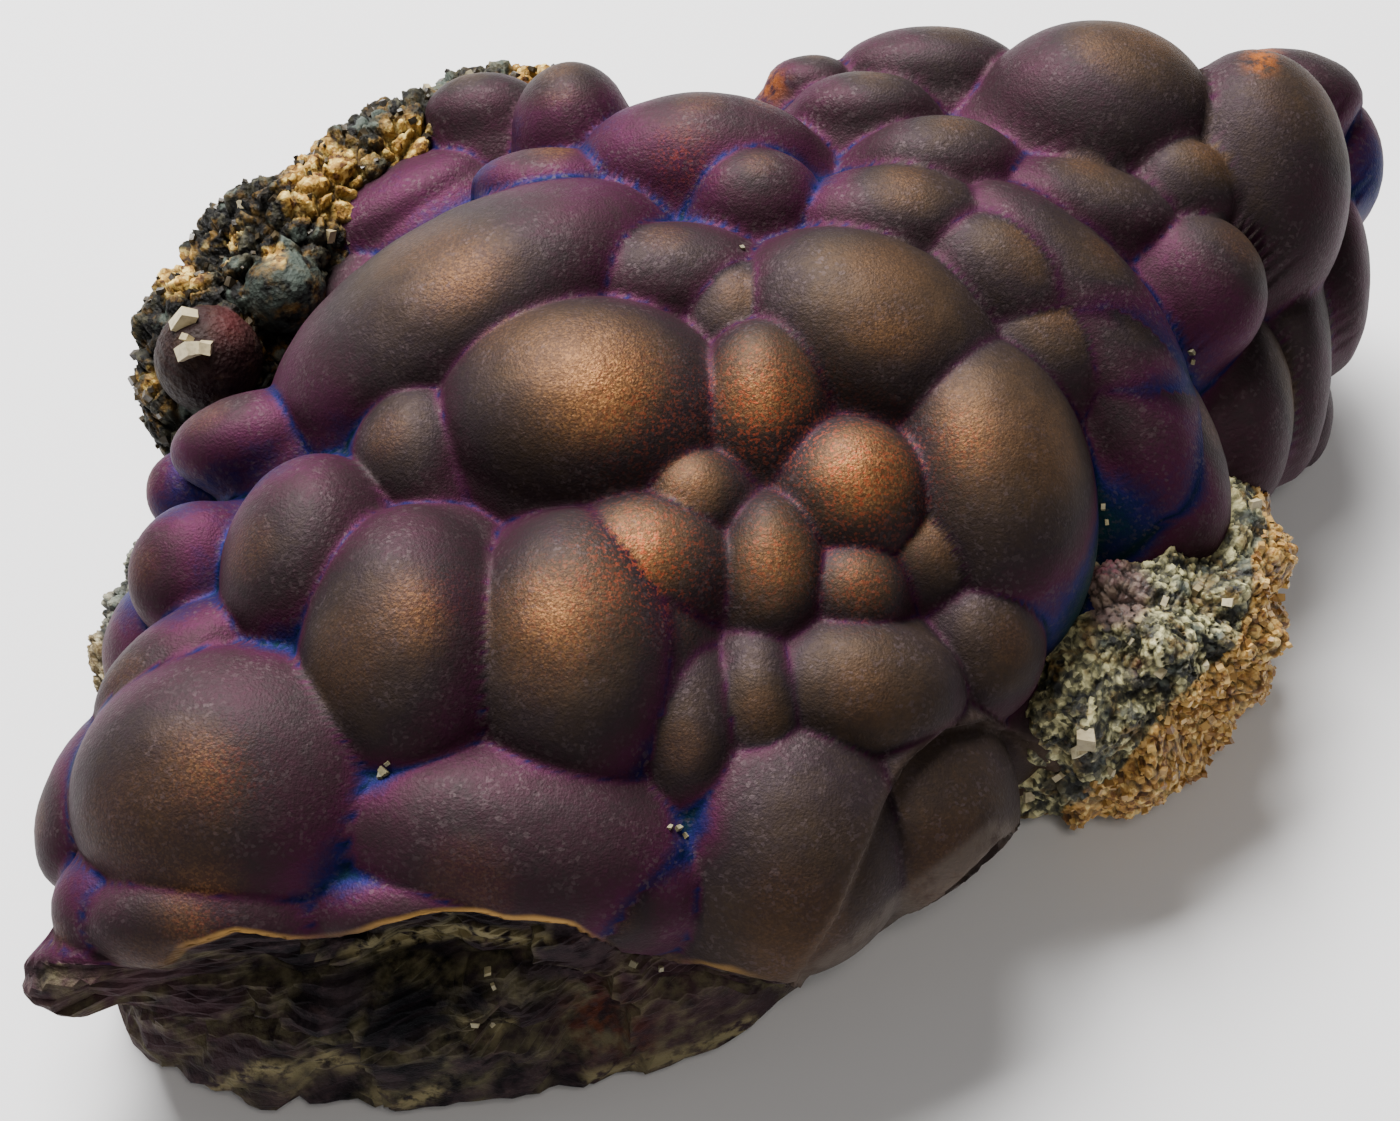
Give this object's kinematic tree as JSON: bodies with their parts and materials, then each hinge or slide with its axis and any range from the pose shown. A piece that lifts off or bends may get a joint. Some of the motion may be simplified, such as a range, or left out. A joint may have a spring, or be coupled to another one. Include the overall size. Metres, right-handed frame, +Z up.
{
  "type": "botryoidal chalcopyrite specimen",
  "caption": "Loaf-shaped lump of tarnished chalcopyrite: rounded bronze, purple and blue lobes, a broken front face, and rough matrix rock along its edges.",
  "frame": {"origin": "on the ground under the middle of the specimen's box", "axes": "+X to the right in the picture and along the longest side, +Y away from the broken front face, +Z up"},
  "size_m": [0.1112, 0.0956, 0.0417],
  "materials": {
    "tarnished_ore": "satin bronze, purple and blue tarnish",
    "ochre_matrix": "rough",
    "dark_matrix": "rough",
    "pale_matrix": "rough"
  },
  "bodies": {
    "root": {"chalcopyrite_mass": "tarnished_ore", "matrix_block": "ochre_matrix", "matrix_crust": "dark_matrix", "matrix_rim": "pale_matrix"}
  },
  "joints": []
}
